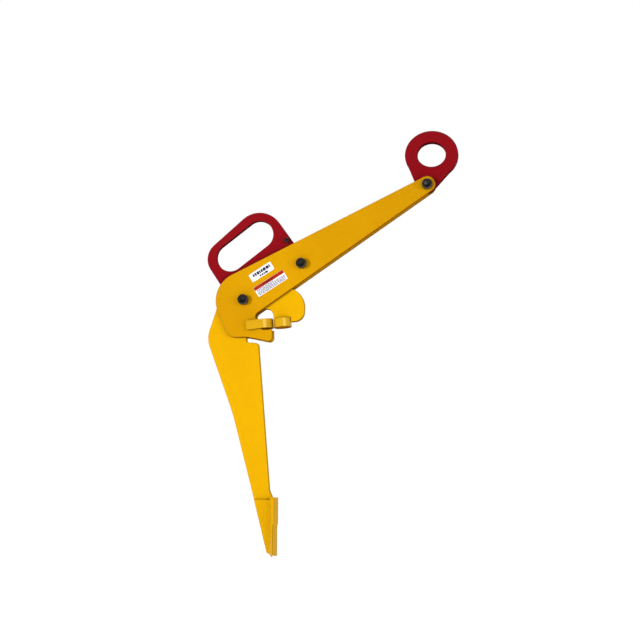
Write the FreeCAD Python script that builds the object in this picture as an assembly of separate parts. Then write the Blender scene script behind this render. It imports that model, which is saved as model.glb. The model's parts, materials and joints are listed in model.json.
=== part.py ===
import FreeCAD, Part
import math
import os

# Drum rim lifting clamp.  Millimetres, +Z up, plates in the XZ plane, front face towards -Y.
# Everything is laid out from the pivot bolt's axis, then saved with the origin at the centre of
# the lifting eye's opening, where the crane hook carries the clamp.

# Plate thicknesses and the stack across the clamp
BODY_T = 12.0
HANDLE_T = 10.0
EYE_T = 12.0
ARM_T = 6.0
ARM_GAP = 1.0
FOOT_T = 4.0
ARM_IN = BODY_T / 2 + ARM_GAP
ARM_OUT = ARM_IN + ARM_T
EDGE_BREAK = 0.8

# Bolt axes, seen from the front as (x, z)
PIVOT = (0.0, 0.0)
TIE = (102.3, 61.8)
EYE_BOLT = (322.3, 195.3)

# Lifting eye: an oval ring on a neck
EYE_CENTRE = (329.2, 249.8)
EYE_OUT = (46.4, 42.6)
EYE_IN = (24.6, 21.1)
EYE_NECK_R = 12.5

# M12 cap bolts, nuts and washers, with their bushes and thrust washers
BOLT_R = 6.0
BOLT_HEAD_R = 9.0
BOLT_HEAD_H = 12.0
SOCKET_AF = 10.0
SOCKET_DEPTH = 6.0
NUT_AF = 18.0
NUT_H = 10.0
WASHER_R = 12.0
WASHER_T = 2.5
THREAD_OVERRUN = 4.0
RUNNING_FIT = 0.05
PIVOT_BUSH_R = 10.0
EYE_BUSH_R = 8.0
PIVOT_THRUST_R = 17.0
EYE_THRUST_R = 11.0
THRUST_T = ARM_GAP - 2 * RUNNING_FIT
TIE_SPACER_R = 9.0

# Arm side plates
ARM_HEAD_R = 50.0
ARM_TIP = (321.5, 196.7)
ARM_TIP_R = 14.0

# Outer jaw: a flat bar bent round the tips of the two side plates
STRAP_T = 6.0
STRAP_H = 16.0
STRAP_NOSE = (31.9, -42.2)
STRAP_TAIL_X = 5.7
STRAP_TILT = -6.0
STRAP_CLEARANCE = 0.5

# Inner jaw: a round pad under the hook of the body plate
PAD_R = 15.8
PAD_H = 17.0
PAD_CENTRE = (67.1, -39.9)
PAD_TILT = -5.0

# Carry handle
SLOT_R = 24.3
SLOT_ENDS = [(-25.6, 76.9), (26.2, 116.3)]
STOP_PIN = (75.6, 104.5)
STOP_PIN_R = 4.0
STOP_PIN_L = 28.0
SCREW_R = 3.0
SCREW_HEAD_R = 6.0
SCREW_PLACES = [(-21.0, 29.0), (0.0, 32.0), (21.0, 29.0)]

# Foot: two plates on the leg that open into a vee
FOOT_BEND_X = 48.5
FOOT_WING = 20.0
FOOT_WING_ANGLE = 68.0
FOOT_BEND_R = 2.0
FOOT_TOP_Z = -341.8
FOOT_END_Z = -442.1

# Labels on the front side plate
LABEL_T = 0.3
LABEL_TURN = -31.8
NAME_LABEL = (31.4, 48.8, 44.6, 15.2)
WARNING_LABEL = (47.6, 28.4, 60.0, 18.6)

# Outlines, each a list of (x, z, radius) stations.  The edge wraps round a circle at every
# station and runs straight between them.  A negative radius is a hollow corner, zero a sharp one.
BODY_OUTLINE = [
    (1.0, 1.5, 43.5),
    (-20.0, -65.4, 44.2),
    (-402.0, -315.8, -400.0),
    (43.7, -433.4, 2.0),
    (FOOT_BEND_X, -435.3, 0.0),
    (FOOT_BEND_X, -351.5, 0.0),
    (50.0, -343.9, 1.5),
    (64.2, -325.3, -19.2),
    (19.6, -80.2, 5.8),
    (8.9, -68.9, -4.9),
    (18.7, -44.1, -15.0),
    (38.9, -28.4, -12.7),
    (51.6, -40.7, 0.0),
    (88.2, -20.8, 17.6),
    (70.6, -13.2, 35.6),
]
ARM_OUTLINE = [
    (0.0, 0.0, ARM_HEAD_R),
    (-14.0, -47.7, 17.5),
    (6.9, -65.1, 0.0),
    (42.8, -65.1, 7.6),
    (50.2, -52.5, 0.0),
    (33.2, -52.2, 0.0),
    (24.4, -45.0, 0.0),
    (29.0, -29.5, -8.3),
    (ARM_TIP[0], ARM_TIP[1], ARM_TIP_R),
]
HANDLE_OUTLINE = [
    (-33.6, 74.7, 33.2),
    (-36.0, 25.0, 4.0),
    (35.9, 24.0, 4.0),
    (80.4, 95.8, 8.0),
    (25.2, 112.4, 43.4),
]
FOOT_OUTLINE = [
    (19.5, -345.7, 0.0),
    (41.9, -435.6, 0.0),
    (47.5, -438.6, 0.0),
    (52.2, FOOT_END_Z + 2, 2.0),
    (54.3, -392.3, 0.0),
    (55.0, -378.6, 2.4),
    (55.0, FOOT_TOP_Z - 2, 2.0),
    (48.0, FOOT_TOP_Z, 0.0),
    (45.9, -345.7, 0.0),
]


def upright(u, v):
    return FreeCAD.Vector(u, 0, v)


def level(u, v):
    return FreeCAD.Vector(u, v, 0)


def outline(stations, place):
    """Closed face, counter-clockwise, of arcs about the stations joined by common tangents."""
    count = len(stations)
    normals = []
    for i, (u1, v1, r1) in enumerate(stations):
        u2, v2, r2 = stations[(i + 1) % count]
        heading = math.atan2(v2 - v1, u2 - u1)
        normals.append(heading - math.acos((r1 - r2) / math.hypot(u2 - u1, v2 - v1)))
    edges = []
    for i, (u, v, r) in enumerate(stations):
        side = math.copysign(1, r)
        turn = side * ((side * (normals[i] - normals[i - 1])) % (2 * math.pi))
        angles = [normals[i - 1], normals[i - 1] + turn / 2, normals[i]]
        start, middle, end = [place(u + r * math.cos(a), v + r * math.sin(a)) for a in angles]
        if r != 0 and abs(turn) > 0.001:
            edges.append(Part.Arc(start, middle, end).toShape())
        u2, v2, r2 = stations[(i + 1) % count]
        onward = place(u2 + r2 * math.cos(normals[i]), v2 + r2 * math.sin(normals[i]))
        if end.distanceToPoint(onward) > 0.001:
            edges.append(Part.LineSegment(end, onward).toShape())
    return Part.Face(Part.Wire(Part.__sortEdges__(edges)))


def plate(stations, y_low, y_high):
    """Flat plate between two depths."""
    face = outline(stations, upright)
    face.translate(FreeCAD.Vector(0, y_low, 0))
    return face.extrude(FreeCAD.Vector(0, y_high - y_low, 0))


def rod(centre, radius, y_low, y_high):
    """Cylinder along Y."""
    base = FreeCAD.Vector(centre[0], y_low, centre[1])
    return Part.makeCylinder(radius, y_high - y_low, base, FreeCAD.Vector(0, 1, 0))


def ring(centre, outer, inner, y_low, y_high):
    return rod(centre, outer, y_low, y_high).cut(rod(centre, inner, y_low, y_high))


def hexagon(centre, across_flats, y_low, y_high):
    """Hexagonal prism along Y."""
    radius = across_flats / math.sqrt(3)
    corners = []
    for i in range(7):
        angle = math.radians(60 * i)
        x = centre[0] + radius * math.cos(angle)
        z = centre[1] + radius * math.sin(angle)
        corners.append(FreeCAD.Vector(x, y_low, z))
    return Part.Face(Part.makePolygon(corners)).extrude(FreeCAD.Vector(0, y_high - y_low, 0))


def turned(shape, centre, degrees):
    """Turn a shape in the plane of the plates, about a point."""
    pin = FreeCAD.Vector(centre[0], 0, centre[1])
    shape.rotate(pin, FreeCAD.Vector(0, 1, 0), degrees)
    return shape


def flat_edges(shape, depths):
    """The edges that lie wholly at one of the given depths."""
    found = []
    for edge in shape.Edges:
        box = edge.BoundBox
        if any(abs(box.YMin - y) < 0.001 and abs(box.YMax - y) < 0.001 for y in depths):
            found.append(edge)
    return found


def softened(shape, depths, size=EDGE_BREAK):
    return shape.makeChamfer(size, flat_edges(shape, depths))


def save(name, shape):
    """Write one piece, moved so that the lifting eye's centre is the origin."""
    moved = shape.copy()
    moved.translate(FreeCAD.Vector(-EYE_CENTRE[0], 0, -EYE_CENTRE[1]))
    moved.exportStep("parts/" + name + ".step")


# ---- body frame ----

def handle_screw(centre):
    """Flush countersunk screw through the lap of body plate and handle."""
    base = FreeCAD.Vector(centre[0], -BODY_T / 2, centre[1])
    head = Part.makeCone(SCREW_HEAD_R, SCREW_R, SCREW_R, base, FreeCAD.Vector(0, 1, 0))
    shank = rod(centre, SCREW_R, -BODY_T / 2, HANDLE_T / 2)
    return head.fuse(shank)


def inner_pad_block(radius, height):
    """The round pad, lying under the hook with its left side a little low."""
    base = FreeCAD.Vector(PAD_CENTRE[0], 0, PAD_CENTRE[1] - height / 2)
    pad = Part.makeCylinder(radius, height, base)
    return turned(pad, PAD_CENTRE, PAD_TILT)


def pad_seat():
    """What the hook gives up to the pad: a flat top face and a shoulder on the right."""
    reach = 2 * PAD_R
    corner = FreeCAD.Vector(PAD_CENTRE[0] - reach, -BODY_T, PAD_CENTRE[1] - reach)
    seat = Part.makeBox(reach + PAD_R, 2 * BODY_T, reach + PAD_H / 2, corner)
    return turned(seat, PAD_CENTRE, PAD_TILT)


def body_plate():
    shape = plate(BODY_OUTLINE, -BODY_T / 2, BODY_T / 2)
    shape = softened(shape, [-BODY_T / 2, BODY_T / 2])
    shape = shape.cut(pad_seat())
    shape = shape.cut(plate(HANDLE_OUTLINE, 0, BODY_T))
    shape = shape.cut(rod(PIVOT, PIVOT_BUSH_R, -BODY_T, BODY_T))
    for centre in SCREW_PLACES:
        shape = shape.cut(handle_screw(centre))
    return shape


def carry_handle():
    half = HANDLE_T / 2
    slot = [(x, z, SLOT_R) for x, z in SLOT_ENDS]
    shape = plate(HANDLE_OUTLINE, -half, half)
    shape = shape.cut(plate(slot, -HANDLE_T, HANDLE_T))
    shape = softened(shape, [-half, half])
    shape = shape.cut(plate(BODY_OUTLINE, -BODY_T, 0))
    shape = shape.cut(rod(STOP_PIN, STOP_PIN_R, -HANDLE_T, HANDLE_T))
    for centre in SCREW_PLACES:
        shape = shape.cut(handle_screw(centre))
    return shape


def stop_pin():
    half = STOP_PIN_L / 2
    return softened(rod(STOP_PIN, STOP_PIN_R, -half, half), [-half, half])


def inner_jaw_pad():
    pad = inner_pad_block(PAD_R, PAD_H)
    return pad.makeChamfer(1.2, [e for e in pad.Edges if e.Length > PAD_R * 5])


def foot_plate(side):
    """Bent plate welded to one face of the leg; side is -1 for the front, 1 for the rear."""
    angle = math.radians(FOOT_WING_ANGLE)
    along = (math.cos(angle), math.sin(angle))
    half_turn = math.tan(angle / 2)
    face = BODY_T / 2
    inner_r = FOOT_BEND_R
    outer_r = inner_r + FOOT_T
    bend_x = FOOT_BEND_X - outer_r * half_turn
    tip = (FOOT_BEND_X + FOOT_WING * along[0], face + FOOT_WING * along[1])
    back = (tip[0] - FOOT_T * along[1], tip[1] + FOOT_T * along[0])
    profile = [
        (0.0, face, 0.0),
        (bend_x, face + outer_r, outer_r),
        (tip[0], tip[1], 0.0),
        (back[0], back[1], 0.0),
        (bend_x, face + outer_r, -inner_r),
        (0.0, face + FOOT_T, 0.0),
    ]
    bar = outline(profile, level)
    bar.translate(FreeCAD.Vector(0, 0, FOOT_END_Z))
    bar = bar.extrude(FreeCAD.Vector(0, 0, FOOT_TOP_Z - FOOT_END_Z))
    shape = bar.common(plate(FOOT_OUTLINE, 0, 3 * BODY_T))
    if side < 0:
        shape = shape.mirror(FreeCAD.Vector(0, 0, 0), FreeCAD.Vector(0, 1, 0))
    return shape


# ---- arm ----

def strap():
    """The outer jaw: a bar on edge, bent to a half round between the two side plates."""
    inner = ARM_OUT
    outer = inner + STRAP_T
    nose_x, nose_z = STRAP_NOSE
    outside = [(nose_x, 0, outer), (STRAP_TAIL_X, outer, 0), (STRAP_TAIL_X, -outer, 0)]
    inside = [(nose_x, 0, inner), (STRAP_TAIL_X - 1, inner, 0), (STRAP_TAIL_X - 1, -inner, 0)]
    shape = outline(outside, level).cut(outline(inside, level))
    shape.translate(FreeCAD.Vector(0, 0, nose_z - STRAP_H / 2))
    shape = shape.extrude(FreeCAD.Vector(0, 0, STRAP_H))
    return turned(shape, STRAP_NOSE, STRAP_TILT)


def strap_notch():
    """Room for the strap's nose in the edge of a side plate."""
    height = STRAP_H + 2 * STRAP_CLEARANCE
    corner = FreeCAD.Vector(STRAP_NOSE[0] - 1, -ARM_OUT, STRAP_NOSE[1] - height / 2)
    return turned(Part.makeBox(STRAP_H * 2, 2 * ARM_OUT, height, corner), STRAP_NOSE, STRAP_TILT)


def arm_plate(side):
    y_low, y_high = sorted([side * ARM_IN, side * ARM_OUT])
    shape = plate(ARM_OUTLINE, y_low, y_high)
    shape = softened(shape, [y_low, y_high])
    shape = shape.cut(strap_notch())
    for centre in [PIVOT, TIE, EYE_BOLT]:
        shape = shape.cut(rod(centre, BOLT_R, y_low, y_high))
    return shape


def cap_bolt(centre):
    """Socket cap bolt with its head on the front side plate."""
    top = -ARM_OUT - BOLT_HEAD_H
    tail = ARM_OUT + WASHER_T + NUT_H + THREAD_OVERRUN
    head = rod(centre, BOLT_HEAD_R, top, -ARM_OUT)
    head = head.makeFillet(1.5, flat_edges(head, [top]))
    shank = rod(centre, BOLT_R, -ARM_OUT, tail)
    shank = shank.makeChamfer(1.0, flat_edges(shank, [tail]))
    return head.fuse(shank).cut(hexagon(centre, SOCKET_AF, top, top + SOCKET_DEPTH))


def nut(centre):
    """Hexagon nut with rounded corners on its outer face."""
    low = ARM_OUT + WASHER_T
    high = low + NUT_H
    base = FreeCAD.Vector(centre[0], low, centre[1])
    cone = Part.makeCone(NUT_AF / 2 + NUT_H, NUT_AF / 2 - 0.5, NUT_H + 0.5, base, FreeCAD.Vector(0, 1, 0))
    return hexagon(centre, NUT_AF, low, high).common(cone).cut(rod(centre, BOLT_R, low, high))


def washer(centre):
    top = ARM_OUT + WASHER_T
    shape = ring(centre, WASHER_R, BOLT_R, ARM_OUT, top)
    rim = [e for e in flat_edges(shape, [top]) if e.Length > math.pi * (WASHER_R + BOLT_R)]
    return shape.makeFillet(0.8, rim)


def thrust_washers(centre, radius):
    """The pair that keeps the centre plate clear of the side plates."""
    low = BODY_T / 2 + RUNNING_FIT
    rear = ring(centre, radius, BOLT_R + RUNNING_FIT, low, low + THRUST_T)
    front = ring(centre, radius, BOLT_R + RUNNING_FIT, -low - THRUST_T, -low)
    return Part.makeCompound([front, rear])


def label(place):
    x, z, width, height = place
    corner = FreeCAD.Vector(x - width / 2, -ARM_OUT - LABEL_T, z - height / 2)
    return turned(Part.makeBox(width, LABEL_T, height, corner), (x, z), LABEL_TURN)


# ---- lifting eye ----

def oval(semi_axes, y_low, y_high):
    """Oval prism about the lifting eye's centre."""
    curve = Part.Ellipse(FreeCAD.Vector(0, 0, 0), semi_axes[0], semi_axes[1])
    face = Part.Face(Part.Wire(curve.toShape()))
    face.rotate(FreeCAD.Vector(0, 0, 0), FreeCAD.Vector(1, 0, 0), 90)
    face.translate(FreeCAD.Vector(EYE_CENTRE[0], y_high, EYE_CENTRE[1]))
    return face.extrude(FreeCAD.Vector(0, y_low - y_high, 0))


def lifting_eye():
    half = EYE_T / 2
    neck = [
        (EYE_CENTRE[0] - 43.0, EYE_CENTRE[1] - 14.5, 0.0),
        (EYE_BOLT[0] - 7.5, EYE_BOLT[1], EYE_NECK_R - 1.0),
        (EYE_BOLT[0], EYE_BOLT[1], EYE_NECK_R),
        (EYE_CENTRE[0] + 34.7, EYE_CENTRE[1] - 27.4, 0.0),
    ]
    shape = oval(EYE_OUT, -half, half).fuse(plate(neck, -half, half)).removeSplitter()
    shape = shape.cut(oval(EYE_IN, -half, half))
    shape = softened(shape, [-half, half], 1.5)
    return shape.cut(rod(EYE_BOLT, EYE_BUSH_R, -half, half))


os.makedirs("parts", exist_ok=True)

save("body_plate", body_plate())
save("foot_plate_front", foot_plate(-1))
save("foot_plate_rear", foot_plate(1))
save("inner_jaw_pad", inner_jaw_pad())
save("carry_handle", carry_handle())
save("handle_screws", Part.makeCompound([handle_screw(centre) for centre in SCREW_PLACES]))
save("stop_pin", stop_pin())
save("pivot_bush", ring(PIVOT, PIVOT_BUSH_R, BOLT_R + RUNNING_FIT, -BODY_T / 2, BODY_T / 2))

save("arm_plate_front", arm_plate(-1))
save("arm_plate_rear", arm_plate(1))
save("outer_jaw_strap", strap())
for joint, centre in [("pivot", PIVOT), ("tie", TIE), ("eye", EYE_BOLT)]:
    save(joint + "_bolt", cap_bolt(centre))
    save(joint + "_washer", washer(centre))
    save(joint + "_nut", nut(centre))
save("pivot_thrust_washers", thrust_washers(PIVOT, PIVOT_THRUST_R))
save("eye_thrust_washers", thrust_washers(EYE_BOLT, EYE_THRUST_R))
save("tie_spacer", ring(TIE, TIE_SPACER_R, BOLT_R, -ARM_IN, ARM_IN))
save("name_label", label(NAME_LABEL))
save("warning_label", label(WARNING_LABEL))

save("lifting_eye", lifting_eye())
save("eye_bush", ring(EYE_BOLT, EYE_BUSH_R, BOLT_R + RUNNING_FIT, -EYE_T / 2, EYE_T / 2))
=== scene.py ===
import json
import math
import random

import bpy
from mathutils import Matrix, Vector

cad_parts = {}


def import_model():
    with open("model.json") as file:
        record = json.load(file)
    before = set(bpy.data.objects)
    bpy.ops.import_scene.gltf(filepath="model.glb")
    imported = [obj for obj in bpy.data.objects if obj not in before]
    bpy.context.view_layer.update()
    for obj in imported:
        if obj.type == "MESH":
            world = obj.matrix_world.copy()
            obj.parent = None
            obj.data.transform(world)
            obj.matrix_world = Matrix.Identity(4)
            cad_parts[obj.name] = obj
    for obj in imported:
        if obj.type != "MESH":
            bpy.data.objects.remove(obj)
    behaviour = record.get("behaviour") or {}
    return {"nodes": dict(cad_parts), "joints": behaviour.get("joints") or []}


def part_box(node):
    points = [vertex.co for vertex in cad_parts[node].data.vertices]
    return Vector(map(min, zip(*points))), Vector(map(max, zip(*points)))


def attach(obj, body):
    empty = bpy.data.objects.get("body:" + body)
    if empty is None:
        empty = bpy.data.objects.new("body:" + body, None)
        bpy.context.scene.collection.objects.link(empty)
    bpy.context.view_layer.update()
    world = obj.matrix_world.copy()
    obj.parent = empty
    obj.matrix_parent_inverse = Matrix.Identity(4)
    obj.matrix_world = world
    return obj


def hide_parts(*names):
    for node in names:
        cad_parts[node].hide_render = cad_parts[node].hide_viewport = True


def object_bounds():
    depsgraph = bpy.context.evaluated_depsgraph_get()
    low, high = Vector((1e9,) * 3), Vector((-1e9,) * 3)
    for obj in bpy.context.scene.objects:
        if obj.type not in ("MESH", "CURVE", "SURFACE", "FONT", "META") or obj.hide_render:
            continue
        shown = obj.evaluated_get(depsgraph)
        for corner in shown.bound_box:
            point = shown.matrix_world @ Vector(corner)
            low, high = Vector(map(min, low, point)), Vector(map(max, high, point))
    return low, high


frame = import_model()
CAD_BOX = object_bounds()
NODES = frame["nodes"]
JOINTS = {joint["name"]: joint for joint in frame["joints"]}
PIVOT = Vector(JOINTS["arm_pivot"]["pos_m"])
EYE_BOLT = Vector(JOINTS["eye_swing"]["pos_m"])
MM = 0.001

# ---- shader building blocks ----

MASK_SAMPLES = 6


def new_material(name):
    """Material with an empty tree that holds a principled shader and its output."""
    material = bpy.data.materials.new(name)
    material.use_nodes = True
    tree = material.node_tree
    tree.nodes.clear()
    output = tree.nodes.new("ShaderNodeOutputMaterial")
    shader = tree.nodes.new("ShaderNodeBsdfPrincipled")
    tree.links.new(shader.outputs["BSDF"], output.inputs["Surface"])
    return material, tree, shader


def feed(tree, value, socket):
    """Link an output socket, or set a plain value."""
    if isinstance(value, bpy.types.NodeSocket):
        tree.links.new(value, socket)
    else:
        socket.default_value = value


def place(tree, stretch):
    """Object coordinates in metres, stretched per axis."""
    coordinates = tree.nodes.new("ShaderNodeTexCoord")
    mapping = tree.nodes.new("ShaderNodeMapping")
    mapping.inputs["Scale"].default_value = stretch
    tree.links.new(coordinates.outputs["Object"], mapping.inputs["Vector"])
    return mapping.outputs["Vector"]


def noise(tree, scale, detail, roughness=0.5, stretch=(1, 1, 1), distortion=0.0):
    """Noise value in object space."""
    node = tree.nodes.new("ShaderNodeTexNoise")
    node.inputs["Scale"].default_value = scale
    node.inputs["Detail"].default_value = detail
    node.inputs["Roughness"].default_value = roughness
    node.inputs["Distortion"].default_value = distortion
    tree.links.new(place(tree, stretch), node.inputs["Vector"])
    return node.outputs["Fac"]


def span(tree, value, low, high, out_low=0.0, out_high=1.0):
    """Remap a value from low..high to out_low..out_high, clamped."""
    node = tree.nodes.new("ShaderNodeMapRange")
    feed(tree, value, node.inputs["Value"])
    node.inputs["From Min"].default_value = low
    node.inputs["From Max"].default_value = high
    node.inputs["To Min"].default_value = out_low
    node.inputs["To Max"].default_value = out_high
    return node.outputs["Result"]


def math_node(tree, operation, a, b):
    """Result of one operation on two values."""
    node = tree.nodes.new("ShaderNodeMath")
    node.operation = operation
    feed(tree, a, node.inputs[0])
    feed(tree, b, node.inputs[1])
    return node.outputs["Value"]


def mix(tree, factor, a, b):
    """Blend two colours."""
    node = tree.nodes.new("ShaderNodeMix")
    node.data_type = "RGBA"
    feed(tree, factor, node.inputs["Factor"])
    feed(tree, a, node.inputs["A"])
    feed(tree, b, node.inputs["B"])
    return node.outputs["Result"]


def edge_mask(tree, radius):
    """Up to one within the radius of an edge, zero on flats."""
    bevel = tree.nodes.new("ShaderNodeBevel")
    bevel.samples = MASK_SAMPLES
    bevel.inputs["Radius"].default_value = radius
    geometry = tree.nodes.new("ShaderNodeNewGeometry")
    dot = tree.nodes.new("ShaderNodeVectorMath")
    dot.operation = "DOT_PRODUCT"
    tree.links.new(bevel.outputs["Normal"], dot.inputs[0])
    tree.links.new(geometry.outputs["Normal"], dot.inputs[1])
    return span(tree, dot.outputs["Value"], 0.99, 0.8)


def facing(tree, axis, low, high):
    """Zero to one as the surface's own normal turns along an axis from low to high."""
    coordinates = tree.nodes.new("ShaderNodeTexCoord")
    split = tree.nodes.new("ShaderNodeSeparateXYZ")
    tree.links.new(coordinates.outputs["Normal"], split.inputs["Vector"])
    return span(tree, split.outputs[axis], low, high)


def crevice_shade(tree, reach):
    """Mask for painted shade: one deep in gaps narrower than the reach, zero on open faces."""
    node = tree.nodes.new("ShaderNodeAmbientOcclusion")
    node.samples = MASK_SAMPLES
    node.inputs["Distance"].default_value = reach
    return span(tree, node.outputs["AO"], 0.15, 0.75, 1.0, 0.0)


def bump(tree, height, distance, strength, normal=None):
    """Normal bent by a height, on top of another normal if one is given."""
    node = tree.nodes.new("ShaderNodeBump")
    node.inputs["Strength"].default_value = strength
    node.inputs["Distance"].default_value = distance
    feed(tree, height, node.inputs["Height"])
    if normal is not None:
        tree.links.new(normal, node.inputs["Normal"])
    return node.outputs["Normal"]


# ---- materials ----

BARE_STEEL = (0.16, 0.13, 0.11, 1)
PAINT_EDGE = 1.2 * MM
METAL_EDGE = 0.5 * MM
CREVICE_REACH = 12 * MM
UNDERSIDE_SHADE = 0.85


def gloss_paint(name, light, deep, edge, tint, gloss=0.2, coat=0.0, rim_shade=0.55, wall_shade=0.35):
    """Sprayed enamel: slow colour drift, orange peel, small chips, scuffs and faint streaks, with
    painted shade on rounded edges, cut side walls, undersides and crevices.

    The rim factor is how much painted shade darkens rounded edges, the wall factor how much it darkens
    the cut side walls of plates."""
    material, tree, shader = new_material(name)
    drift = span(tree, noise(tree, 5.0, 3.0), 0.35, 0.65)
    colour = mix(tree, drift, light, deep)
    speckle = span(tree, noise(tree, 900.0, 2.0), 0.3, 0.7, 0.0, 0.10)
    colour = mix(tree, speckle, colour, deep)
    # Painted shade: faces turned sideways, the cut side walls of the plates, get the dark colour in
    # place of the shade they fall in.
    front = math_node(tree, "MAXIMUM", facing(tree, "Y", 0.1, 0.3), facing(tree, "Y", -0.1, -0.3))
    sides = math_node(tree, "SUBTRACT", 1.0, front)
    colour = mix(tree, math_node(tree, "MULTIPLY", sides, wall_shade), colour, edge)
    # Painted shade: faces turned downwards are darkened towards the dark colour, standing in for the
    # shade under the parts.
    below = facing(tree, "Z", -0.3, -0.7)
    colour = mix(tree, math_node(tree, "MULTIPLY", below, UNDERSIDE_SHADE), colour, edge)
    # Painted shade: narrow gaps and crevices are darkened towards the dark colour.
    colour = mix(tree, math_node(tree, "MULTIPLY", crevice_shade(tree, CREVICE_REACH), 0.7), colour, edge)
    # Painted shade: rounded edges are darkened towards the dark colour as a thin outline; the same edge
    # mask also places the real paint chips.
    edges = edge_mask(tree, PAINT_EDGE)
    colour = mix(tree, math_node(tree, "MULTIPLY", edges, rim_shade), colour, edge)
    chip_noise = span(tree, noise(tree, 260.0, 5.0, 0.6), 0.63, 0.66)
    chips = math_node(tree, "MULTIPLY", edges, chip_noise)
    colour = mix(tree, chips, colour, BARE_STEEL)
    streaks = span(tree, noise(tree, 30.0, 4.0, 0.6, (1.0, 1.0, 9.0), 0.4), 0.60, 0.72)
    colour = mix(tree, math_node(tree, "MULTIPLY", streaks, 0.10), colour, edge)
    tree.links.new(colour, shader.inputs["Base Color"])
    smudge = span(tree, noise(tree, 22.0, 5.0, 0.6), 0.35, 0.7, 0.26, 0.42)
    rough = math_node(tree, "ADD", smudge, math_node(tree, "MULTIPLY", chips, 0.3))
    tree.links.new(rough, shader.inputs["Roughness"])
    dulled_sides = math_node(tree, "MULTIPLY", sides, min(1.0, 3 * wall_shade))
    matte = math_node(tree, "MAXIMUM", dulled_sides, below)
    polished = math_node(tree, "SUBTRACT", 1.0, matte)
    tree.links.new(math_node(tree, "MULTIPLY", polished, gloss), shader.inputs["Specular IOR Level"])
    tree.links.new(math_node(tree, "MULTIPLY", polished, coat), shader.inputs["Coat Weight"])
    shader.inputs["Specular Tint"].default_value = tint
    shader.inputs["Coat Roughness"].default_value = 0.12
    peel = bump(tree, noise(tree, 420.0, 2.0, 0.4), 0.05 * MM, 0.35)
    waves = bump(tree, noise(tree, 40.0, 2.0, 0.5), 0.20 * MM, 0.25, peel)
    chipped = bump(tree, math_node(tree, "MULTIPLY", chips, -1.0), 0.15 * MM, 0.6, waves)
    tree.links.new(chipped, shader.inputs["Normal"])
    return material


def metal(name, light, dark, rough_low, rough_high, metallic, gloss=0.5):
    """Machined or coated metal with a fine grain, mottling and brighter edges."""
    material, tree, shader = new_material(name)
    mottle = span(tree, noise(tree, 60.0, 5.0, 0.6), 0.35, 0.65)
    colour = mix(tree, mottle, dark, light)
    edges = edge_mask(tree, METAL_EDGE)
    shine = [min(1.0, 1.8 * channel + 0.005) for channel in light[:3]] + [1.0]
    colour = mix(tree, math_node(tree, "MULTIPLY", edges, 0.5), colour, shine)
    tree.links.new(colour, shader.inputs["Base Color"])
    shader.inputs["Metallic"].default_value = metallic
    shader.inputs["Specular IOR Level"].default_value = gloss
    fine = noise(tree, 500.0, 3.0, 0.6)
    tree.links.new(span(tree, fine, 0.3, 0.7, rough_low, rough_high), shader.inputs["Roughness"])
    tree.links.new(bump(tree, fine, 0.03 * MM, 0.5), shader.inputs["Normal"])
    return material


def film(name, light, dark, roughness):
    """Printed label film with faint wrinkles and dust."""
    material, tree, shader = new_material(name)
    dust = span(tree, noise(tree, 150.0, 5.0, 0.65), 0.45, 0.75)
    tree.links.new(mix(tree, dust, light, dark), shader.inputs["Base Color"])
    rough = span(tree, noise(tree, 70.0, 3.0), 0.3, 0.7, roughness - 0.06, roughness + 0.08)
    tree.links.new(rough, shader.inputs["Roughness"])
    shader.inputs["Specular IOR Level"].default_value = 0.15
    tree.links.new(bump(tree, noise(tree, 90.0, 3.0), 0.05 * MM, 0.4), shader.inputs["Normal"])
    return material


GOLD_SHINE = (1.0, 0.55, 0.01, 1)
PALE_SHINE = (1.0, 0.8, 0.15, 1)
RED_SHINE = (1.0, 0.06, 0.06, 1)
# The third colour of each paint is the painted shade colour for edges, side walls, undersides and
# crevices; it also tints the faint streaks.
YELLOW = gloss_paint("yellow_paint", (0.375, 0.198, 0.001, 1), (0.355, 0.184, 0.001, 1),
                     (0.11, 0.035, 0.001, 1), GOLD_SHINE)
ARM_YELLOW = gloss_paint("arm_yellow_paint", (0.325, 0.160, 0.001, 1), (0.290, 0.138, 0.001, 1),
                         (0.09, 0.026, 0.001, 1), GOLD_SHINE)
JAW_YELLOW = gloss_paint("jaw_yellow_paint", (0.330, 0.180, 0.001, 1), (0.315, 0.165, 0.001, 1),
                         (0.08, 0.022, 0.001, 1), PALE_SHINE, gloss=0.8, coat=0.4, wall_shade=0.0)
RED = gloss_paint("red_paint", (0.125, 0.003, 0.005, 1), (0.112, 0.002, 0.004, 1),
                  (0.015, 0.001, 0.001, 1), RED_SHINE, rim_shade=0.85, wall_shade=0.7)
BLACK = metal("black_oxide", (0.006, 0.006, 0.006, 1), (0.003, 0.003, 0.003, 1), 0.16, 0.26, 0.0, 0.35)
ZINC = metal("zinc_plate", (0.55, 0.55, 0.56, 1), (0.38, 0.38, 0.40, 1), 0.25, 0.42, 1.0)
BRONZE = metal("bearing_bronze", (0.52, 0.31, 0.13, 1), (0.36, 0.20, 0.08, 1), 0.3, 0.45, 1.0)
NYLON = film("nylon_insert", (0.72, 0.74, 0.78, 1), (0.60, 0.62, 0.66, 1), 0.45)
LABEL_WHITE = film("label_white", (0.47, 0.47, 0.50, 1), (0.40, 0.39, 0.40, 1), 0.50)
LABEL_RED = film("label_red", (0.20, 0.008, 0.003, 1), (0.17, 0.007, 0.003, 1), 0.50)
LABEL_DARK_RED = film("label_dark_red", (0.08, 0.004, 0.003, 1), (0.05, 0.003, 0.002, 1), 0.50)
LABEL_INK = film("label_ink", (0.010, 0.010, 0.030, 1), (0.020, 0.020, 0.04, 1), 0.50)
LABEL_GREY = film("label_grey_ink", (0.06, 0.06, 0.09, 1), (0.10, 0.10, 0.13, 1), 0.50)

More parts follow.
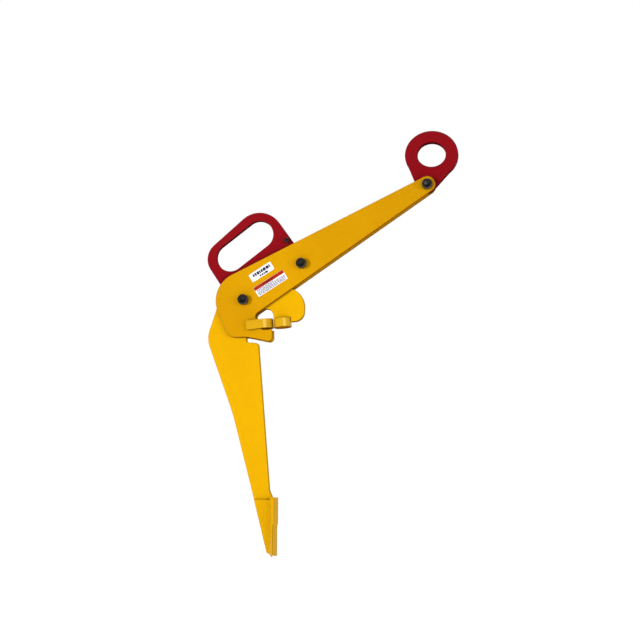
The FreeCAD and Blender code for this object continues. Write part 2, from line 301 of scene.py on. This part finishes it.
FINISH = {
    YELLOW: ["body_plate", "foot_plate_front", "foot_plate_rear"],
    JAW_YELLOW: ["inner_jaw_pad", "outer_jaw_strap"],
    ARM_YELLOW: ["arm_plate_front", "arm_plate_rear"],
    RED: ["carry_handle", "lifting_eye"],
    BLACK: ["stop_pin"],
    ZINC: ["tie_spacer", "handle_screws", "pivot_thrust_washers", "eye_thrust_washers",
           "pivot_washer", "tie_washer", "eye_washer"],
    BRONZE: ["pivot_bush", "eye_bush"],
}
for material, names in FINISH.items():
    for node_name in names:
        mesh = NODES[node_name].data
        mesh.materials.clear()
        mesh.materials.append(material)

# ---- mesh building blocks ----

TURN_STEPS = 96


def mesh_piece(name, vertices, faces, material, sharp_degrees=35):
    """Object from vertices and faces, smooth except where it turns sharply."""
    mesh = bpy.data.meshes.new(name)
    mesh.from_pydata(vertices, [], faces)
    mesh.materials.append(material)
    mesh.shade_smooth()
    mesh.set_sharp_from_angle(angle=math.radians(sharp_degrees))
    mesh.update()
    piece = bpy.data.objects.new(name, mesh)
    bpy.context.scene.collection.objects.link(piece)
    return piece


def lathe(name, centre, rings, material, closed=False):
    """Skin over rings round an axis along Y.  A ring is (y, radius), radius a number or f(angle)."""
    vertices = []
    for y, radius in rings:
        for k in range(TURN_STEPS):
            angle = 2 * math.pi * k / TURN_STEPS
            r = radius(angle) if callable(radius) else radius
            vertices.append((centre.x + r * math.cos(angle), y, centre.z + r * math.sin(angle)))
    faces = []
    spans = len(rings) if closed else len(rings) - 1
    for i in range(spans):
        a, b = i * TURN_STEPS, (i + 1) % len(rings) * TURN_STEPS
        for k in range(TURN_STEPS):
            n = (k + 1) % TURN_STEPS
            faces.append((a + k, b + k, b + n, a + n))
    if not closed:
        faces.append(tuple(range(TURN_STEPS)))
        last = (len(rings) - 1) * TURN_STEPS
        faces.append(tuple(reversed(range(last, last + TURN_STEPS))))
    return mesh_piece(name, vertices, faces, material)


def hexagon(across_flats):
    """Radius of a hexagon's edge at an angle."""
    def radius(angle):
        return across_flats / 2 / math.cos((angle + math.pi / 6) % (math.pi / 3) - math.pi / 6)
    return radius


def least(first, limit):
    """The smaller of a ring function and a number."""
    return lambda angle: min(first(angle), limit)


# ---- bolts and nuts ----

BOLT_CENTRES = {
    "pivot": PIVOT,
    "tie": sum(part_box("tie_bolt"), Vector()) / 2,
    "eye": EYE_BOLT,
}
THREAD_PITCH = 1.75 * MM
THREAD_DEPTH = 0.95 * MM
THREAD_RINGS = 28
THREAD_LENGTH = 5.0 * MM
THREAD_START = 5.8 * MM
SHANK_R = 6.0 * MM
HEAD_R = 9.0 * MM
HEAD_H = 12.0 * MM
HEAD_ROUND = 1.9 * MM
HEAD_ROUND_STEPS = 6
KNURL_DEPTH = 0.16 * MM
KNURL_RIDGES = 48
KNURL_START = 2.3 * MM
SOCKET_AF = 10.0 * MM
SOCKET_DEPTH = 6.0 * MM
SOCKET_CONE = 1.6 * MM
NUT_AF = 18.0 * MM
NUT_FACE_R = 8.9 * MM
NUT_COLLAR_H = 2.6 * MM
BORE_GAP = 0.02 * MM


def knurl(radius):
    """Fine straight knurl on a bolt head."""
    return lambda angle: radius - KNURL_DEPTH * (0.5 + 0.5 * math.cos(KNURL_RIDGES * angle))


def thread(y):
    """Helical thread section at one depth."""
    def radius(angle):
        phase = (y / THREAD_PITCH - angle / (2 * math.pi)) % 1.0
        return SHANK_R - THREAD_DEPTH * abs(2 * phase - 1)
    return radius


def cap_bolt(name, centre):
    """Socket cap bolt with a knurled, rounded head and a threaded end."""
    low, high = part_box(name + "_bolt")
    front, tail = low.y, high.y
    seat = front + HEAD_H
    socket = hexagon(SOCKET_AF)
    rings = [
        (front + SOCKET_DEPTH + SOCKET_CONE, 0.05 * MM),
        (front + SOCKET_DEPTH, least(socket, SOCKET_AF / 2)),
        (front + SOCKET_DEPTH, socket),
        (front + 0.5 * MM, socket),
        (front + 0.1 * MM, lambda angle: socket(angle) + 0.4 * MM),
        (front + 0.05 * MM, 6.6 * MM),
    ]
    for step in range(HEAD_ROUND_STEPS + 1):
        turn = math.pi / 2 * step / HEAD_ROUND_STEPS
        rings.append((front + HEAD_ROUND * (1 - math.cos(turn)),
                      HEAD_R - HEAD_ROUND * (1 - math.sin(turn))))
    rings += [
        (front + KNURL_START, knurl(HEAD_R)),
        (seat - 0.8 * MM, knurl(HEAD_R)),
        (seat - 0.4 * MM, HEAD_R - 0.1 * MM),
        (seat, HEAD_R - 0.5 * MM),
        (seat, SHANK_R),
        (tail - THREAD_START - 0.2 * MM, SHANK_R),
    ]
    for step in range(THREAD_RINGS):
        y = tail - THREAD_START + THREAD_LENGTH * step / (THREAD_RINGS - 1)
        rings.append((y, thread(y)))
    rings += [(tail - 0.5 * MM, SHANK_R - 0.9 * MM), (tail, SHANK_R - 1.3 * MM)]
    bolt = lathe(name + "_cap_bolt", centre, rings, BLACK)
    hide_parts(name + "_bolt")
    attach(bolt, "arm")


def lock_nut(name, centre):
    """Hexagon lock nut with chamfered corners, a collar and a nylon ring."""
    low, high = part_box(name + "_nut")
    seat, top = low.y, high.y
    collar = top - NUT_COLLAR_H
    flats = hexagon(NUT_AF)
    rings = [
        (seat + 0.6 * MM, SHANK_R + BORE_GAP),
        (seat, SHANK_R + 0.7 * MM),
        (seat, NUT_FACE_R),
        (seat + 0.5 * MM, least(flats, 9.75 * MM)),
        (seat + 0.9 * MM, flats),
        (collar - 0.9 * MM, flats),
        (collar - 0.4 * MM, least(flats, 9.7 * MM)),
        (collar, NUT_FACE_R),
        (collar + 0.1 * MM, 8.3 * MM),
        (top - 0.9 * MM, 8.2 * MM),
        (top - 0.2 * MM, 7.7 * MM),
        (top, 7.2 * MM),
        (top - 0.2 * MM, 6.9 * MM),
        (top - 0.8 * MM, 6.9 * MM),
        (top - 0.8 * MM, SHANK_R + BORE_GAP),
    ]
    nut = lathe(name + "_lock_nut", centre, rings, ZINC, closed=True)
    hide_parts(name + "_nut")
    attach(nut, "arm")
    insert = [
        (top - 0.75 * MM, SHANK_R + 0.03 * MM),
        (top - 0.35 * MM, SHANK_R + 0.2 * MM),
        (top - 0.3 * MM, 6.8 * MM),
        (top - 0.75 * MM, 6.85 * MM),
    ]
    ring = lathe(name + "_nut_insert", centre, insert, NYLON, closed=True)
    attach(ring, "arm")


for bolt_name, bolt_centre in BOLT_CENTRES.items():
    cap_bolt(bolt_name, bolt_centre)
    lock_nut(bolt_name, bolt_centre)

# ---- labels ----

LABEL_TURN = math.radians(31.8)
LABEL_CORNER = 1.2 * MM
CORNER_STEPS = 4
PRINT_LIFT = 0.06 * MM
NAME_LABEL = (44.6 * MM, 15.2 * MM)
WARNING_LABEL = (60.0 * MM, 18.6 * MM)
HEADER = (59.6 * MM, 6.0 * MM)
HEADER_RISE = 6.1 * MM
HEADER_CORNER = 0.9 * MM
LINE_PITCH = 2.25 * MM
LINE_COUNT = 5
LINE_HALF = 27.5 * MM
FIRST_LINE_RISE = 1.6 * MM
FIRST_LINE_END = 6.0 * MM
SHORTEST_WORD = 1.5 * MM
WORD_LENGTHS = (2.2, 5.5)
WORD_GAPS = (0.7, 1.1)
WORD_ROUNDING = 0.18


def along(centre, u, v):
    """A point in label coordinates, u along the arm and v across it."""
    return (centre[0] + u * math.cos(LABEL_TURN) - v * math.sin(LABEL_TURN),
            centre[1] + u * math.sin(LABEL_TURN) + v * math.cos(LABEL_TURN))


def sheet(name, centre, size, corner, front, back, material):
    """Thin sheet with rounded corners in the plane of the side plate, turned along the arm."""
    width, height = size
    outline = []
    for k, (sx, sz) in enumerate([(1, 1), (-1, 1), (-1, -1), (1, -1)]):
        for step in range(CORNER_STEPS + 1):
            angle = math.pi / 2 * (k + step / CORNER_STEPS)
            outline.append((sx * (width / 2 - corner) + corner * math.cos(angle),
                            sz * (height / 2 - corner) + corner * math.sin(angle)))
    vertices = []
    for y in (front, back):
        for u, v in outline:
            x, z = along(centre, u, v)
            vertices.append((x, y, z))
    count = len(outline)
    faces = [tuple(range(count)), tuple(reversed(range(count, 2 * count)))]
    for k in range(count):
        n = (k + 1) % count
        faces.append((k, count + k, count + n, n))
    return mesh_piece(name, vertices, faces, material)


def words(name, centre, rows, material, face, seed):
    """Rows of plain bars that stand for print.  A row is (v, left u, right u, height)."""
    rng = random.Random(seed)
    pieces = []
    for v, left, right, height in rows:
        u = left
        while u < right - SHORTEST_WORD:
            width = min(rng.uniform(*WORD_LENGTHS) * MM, right - u)
            bar = sheet("bar", along(centre, u + width / 2, v), (width, height), height * WORD_ROUNDING,
                        face - PRINT_LIFT, face, material)
            pieces.append(bar)
            u += width + rng.uniform(*WORD_GAPS) * MM
    return joined(name, pieces)


def joined(name, pieces):
    """Join objects into one named piece."""
    vertices, faces = [], []
    for piece in pieces:
        start = len(vertices)
        vertices += [tuple(v.co) for v in piece.data.vertices]
        faces += [tuple(start + i for i in p.vertices) for p in piece.data.polygons]
    material = pieces[0].data.materials[0]
    for piece in pieces:
        mesh = piece.data
        bpy.data.objects.remove(piece)
        bpy.data.meshes.remove(mesh)
    return mesh_piece(name, vertices, faces, material)


def label(node_name, size):
    """Make a label's sheet.  Returns its centre and the depth of its front face."""
    low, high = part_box(node_name)
    centre = ((low.x + high.x) / 2, (low.z + high.z) / 2)
    face = low.y + PRINT_LIFT
    piece = sheet(node_name + "_sheet", centre, size, LABEL_CORNER, face, high.y, LABEL_WHITE)
    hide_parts(node_name)
    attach(piece, "arm")
    return centre, face


def print_on(piece):
    """Attach a printed piece to the arm body, as its label is."""
    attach(piece, "arm")


def name_label():
    """White label with one large row and one small row of bars."""
    centre, face = label("name_label", NAME_LABEL)
    rows = [(1.9 * MM, -16.5 * MM, 18.5 * MM, 5.6 * MM)]
    print_on(words("name_label_title", centre, rows, LABEL_INK, face, 3))
    rows = [(-4.4 * MM, -6.0 * MM, 12.5 * MM, 3.4 * MM)]
    print_on(words("name_label_line", centre, rows, LABEL_INK, face, 8))


def warning_label():
    """White label with a red header over rows of small bars, the first one shorter."""
    centre, face = label("warning_label", WARNING_LABEL)
    header_face = face - PRINT_LIFT
    header_centre = along(centre, 0, HEADER_RISE)
    print_on(sheet("warning_header", header_centre, HEADER, HEADER_CORNER, header_face, face, LABEL_RED))
    rows = [(HEADER_RISE, -12.0 * MM, 10.0 * MM, 3.2 * MM)]
    print_on(words("warning_title", centre, rows, LABEL_DARK_RED, header_face, 5))
    rows = []
    for k in range(LINE_COUNT):
        right = FIRST_LINE_END if k == 0 else LINE_HALF
        rows.append((FIRST_LINE_RISE - LINE_PITCH * k, -LINE_HALF, right, 1.5 * MM))
    print_on(words("warning_lines", centre, rows, LABEL_GREY, face, 12))


name_label()
warning_label()

# ---- welds ----

WELD_SIDES = 12
WELD_SHARP_DEGREES = 60
STEPS_PER_RIPPLE = 5
RIPPLE_DEPTH = 0.14
TAPER_STEPS = 8
WOBBLE_SIZE = 0.10
WOBBLE_SHIFT = 0.12


def weld(name, body, points, radius, pitch, seed):
    """Painted weld bead: overlapping ripples along straight runs between the points."""
    rng = random.Random(seed)
    step = pitch / STEPS_PER_RIPPLE
    path = []
    for a, b in zip(points, points[1:]):
        count = max(2, round((b - a).length / step))
        path += [a.lerp(b, k / count) for k in range(count)]
    path.append(points[-1])
    vertices = []
    travelled, wobble = 0.0, 0.0
    for i, point in enumerate(path):
        ahead = path[min(i + 1, len(path) - 1)] - path[max(i - 1, 0)]
        ahead.normalize()
        across = ahead.cross(Vector((0, 1, 0))).normalized()
        out = across.cross(ahead).normalized()
        ripple = 1.0 - RIPPLE_DEPTH + RIPPLE_DEPTH * abs(math.sin(math.pi * travelled / pitch))
        ends = min(1.0, math.sqrt((min(i, len(path) - 1 - i) + 0.4) / TAPER_STEPS))
        wobble = 0.8 * wobble + 0.2 * rng.uniform(-1, 1)
        r = radius * ripple * ends * (1 + WOBBLE_SIZE * wobble)
        shift = across * radius * WOBBLE_SHIFT * wobble
        for k in range(WELD_SIDES):
            angle = 2 * math.pi * k / WELD_SIDES
            vertices.append(point + shift + across * r * math.cos(angle) + out * r * math.sin(angle))
        if i + 1 < len(path):
            travelled += (path[i + 1] - point).length
    faces = []
    for i in range(len(path) - 1):
        a, b = i * WELD_SIDES, (i + 1) * WELD_SIDES
        for k in range(WELD_SIDES):
            n = (k + 1) % WELD_SIDES
            faces.append((a + k, a + n, b + n, b + k))
    faces.append(tuple(reversed(range(WELD_SIDES))))
    last = (len(path) - 1) * WELD_SIDES
    faces.append(tuple(range(last, last + WELD_SIDES)))
    bead = mesh_piece(name, vertices, faces, YELLOW, WELD_SHARP_DEGREES)
    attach(bead, body)


def from_pivot(x, y, z):
    """A point given in millimetres from the pivot axis."""
    return PIVOT + Vector((x, y, z)) * MM


# Name, body, depth and corners (x, z) in millimetres from the pivot, radius, pitch, seed.
WELDS = [
    ("foot_weld_", "body_frame", 6.4, [(45.0, -345.0), (21.5, -345.0)], 1.5 * MM, 2.0 * MM, 4),
    ("pad_weld_", "body_frame", 6.4, [(55.5, -32.7), (81.0, -30.3)], 1.8 * MM, 1.9 * MM, 6),
    ("strap_weld_", "arm", 13.2, [(24.0, -51.3), (6.6, -53.1), (5.0, -38.0)], 1.5 * MM, 1.8 * MM, 9),
]
for side, tag in ((-1, "front"), (1, "rear")):
    for weld_name, body, depth, corners, radius, pitch, seed in WELDS:
        run = [from_pivot(x, side * depth, z) for x, z in corners]
        weld(weld_name + tag, body, run, radius, pitch, seed)

# ---- floor, lights and camera ----

# The camera looks at a point to the right of the pivot and a little below it.
VIEW_TURN = math.radians(8.0)
VIEW_TILT = math.radians(-7.0)
VIEW_DISTANCE = 2.6
VIEW_FIELD = 1.12
VIEW_RIGHT = 0.1314
VIEW_DROP = -0.0335
SENSOR_MM = 36.0
FLOOR_DROP = 0.30
FLOOR_HALF = 30.0
WORLD_IN_FRONT = 0.25
WORLD_BEHIND = 1.0
WHITE = (1.0, 1.0, 1.0, 1)


def toward(azimuth, elevation):
    """Unit vector from the clamp to a viewpoint.  Azimuth 0 is square on to the front plate."""
    return Vector((math.sin(azimuth) * math.cos(elevation), -math.cos(azimuth) * math.cos(elevation),
                   math.sin(elevation)))


def floor():
    """Pale floor that runs to the horizon."""
    material, tree, shader = new_material("pale_floor")
    tone = span(tree, noise(tree, 3.0, 4.0), 0.3, 0.7)
    colour = mix(tree, tone, WHITE, (0.985, 0.985, 0.985, 1))
    tree.links.new(colour, shader.inputs["Base Color"])
    shader.inputs["Roughness"].default_value = 0.7
    shader.inputs["Specular IOR Level"].default_value = 0.0
    shader.inputs["Emission Color"].default_value = WHITE
    shader.inputs["Emission Strength"].default_value = 0.30
    z = CAD_BOX[0].z - FLOOR_DROP
    corners = [(sx * FLOOR_HALF, sy * FLOOR_HALF, z) for sx, sy in ((-1, -1), (1, -1), (1, 1), (-1, 1))]
    piece = mesh_piece("floor", corners, [(0, 1, 2, 3)], material)


def softbox(name, azimuth, elevation, distance, size, power, glossy=True):
    """Area light aimed at the clamp, placed by angles in degrees.  Some give no highlights."""
    back = toward(math.radians(azimuth), math.radians(elevation))
    data = bpy.data.lights.new(name, "AREA")
    data.shape = "RECTANGLE"
    data.size, data.size_y = size
    data.energy = power
    light = bpy.data.objects.new(name, data)
    aim = (CAD_BOX[0] + CAD_BOX[1]) / 2
    light.location = aim + back * distance
    light.rotation_euler = (-back).to_track_quat("-Z", "Y").to_euler()
    light.visible_glossy = glossy
    bpy.context.scene.collection.objects.link(light)


def world():
    """White behind the clamp and softer in front of it."""
    scene_world = bpy.data.worlds.new("studio")
    scene_world.use_nodes = True
    tree = scene_world.node_tree
    background = tree.nodes["Background"]
    split = tree.nodes.new("ShaderNodeSeparateXYZ")
    coordinates = tree.nodes.new("ShaderNodeTexCoord")
    tree.links.new(coordinates.outputs["Generated"], split.inputs["Vector"])
    strength = span(tree, split.outputs["Y"], -0.6, 0.1, WORLD_IN_FRONT, WORLD_BEHIND)
    tree.links.new(strength, background.inputs["Strength"])
    background.inputs["Color"].default_value = WHITE
    bpy.context.scene.world = scene_world


def camera():
    """Camera with the photograph's view of the clamp."""
    data = bpy.data.cameras.new("camera")
    data.sensor_width = SENSOR_MM
    data.lens = data.sensor_width * VIEW_DISTANCE / VIEW_FIELD
    eye = bpy.data.objects.new("camera", data)
    back = toward(VIEW_TURN, VIEW_TILT)
    right = Vector((math.cos(VIEW_TURN), math.sin(VIEW_TURN), 0))
    target = PIVOT + right * VIEW_RIGHT + Vector((0, 0, VIEW_DROP))
    eye.location = target + back * VIEW_DISTANCE
    eye.rotation_mode = "QUATERNION"
    eye.rotation_quaternion = (-back).to_track_quat("-Z", "Y")
    bpy.context.scene.collection.objects.link(eye)
    bpy.context.scene.camera = eye


floor()
world()
softbox("key_left", -34, 3, 2.0, (0.16, 0.20), 46, glossy=False)
softbox("side_right", 56, 4, 2.0, (0.30, 0.30), 18, glossy=False)
softbox("soft_right", 26, 7, 1.9, (1.0, 0.8), 11)
softbox("top", 0, 75, 2.0, (1.6, 1.6), 6)
softbox("back_fill", 195, 20, 2.2, (1.4, 1.2), 26)
camera()
bpy.context.scene.view_settings.view_transform = "Standard"
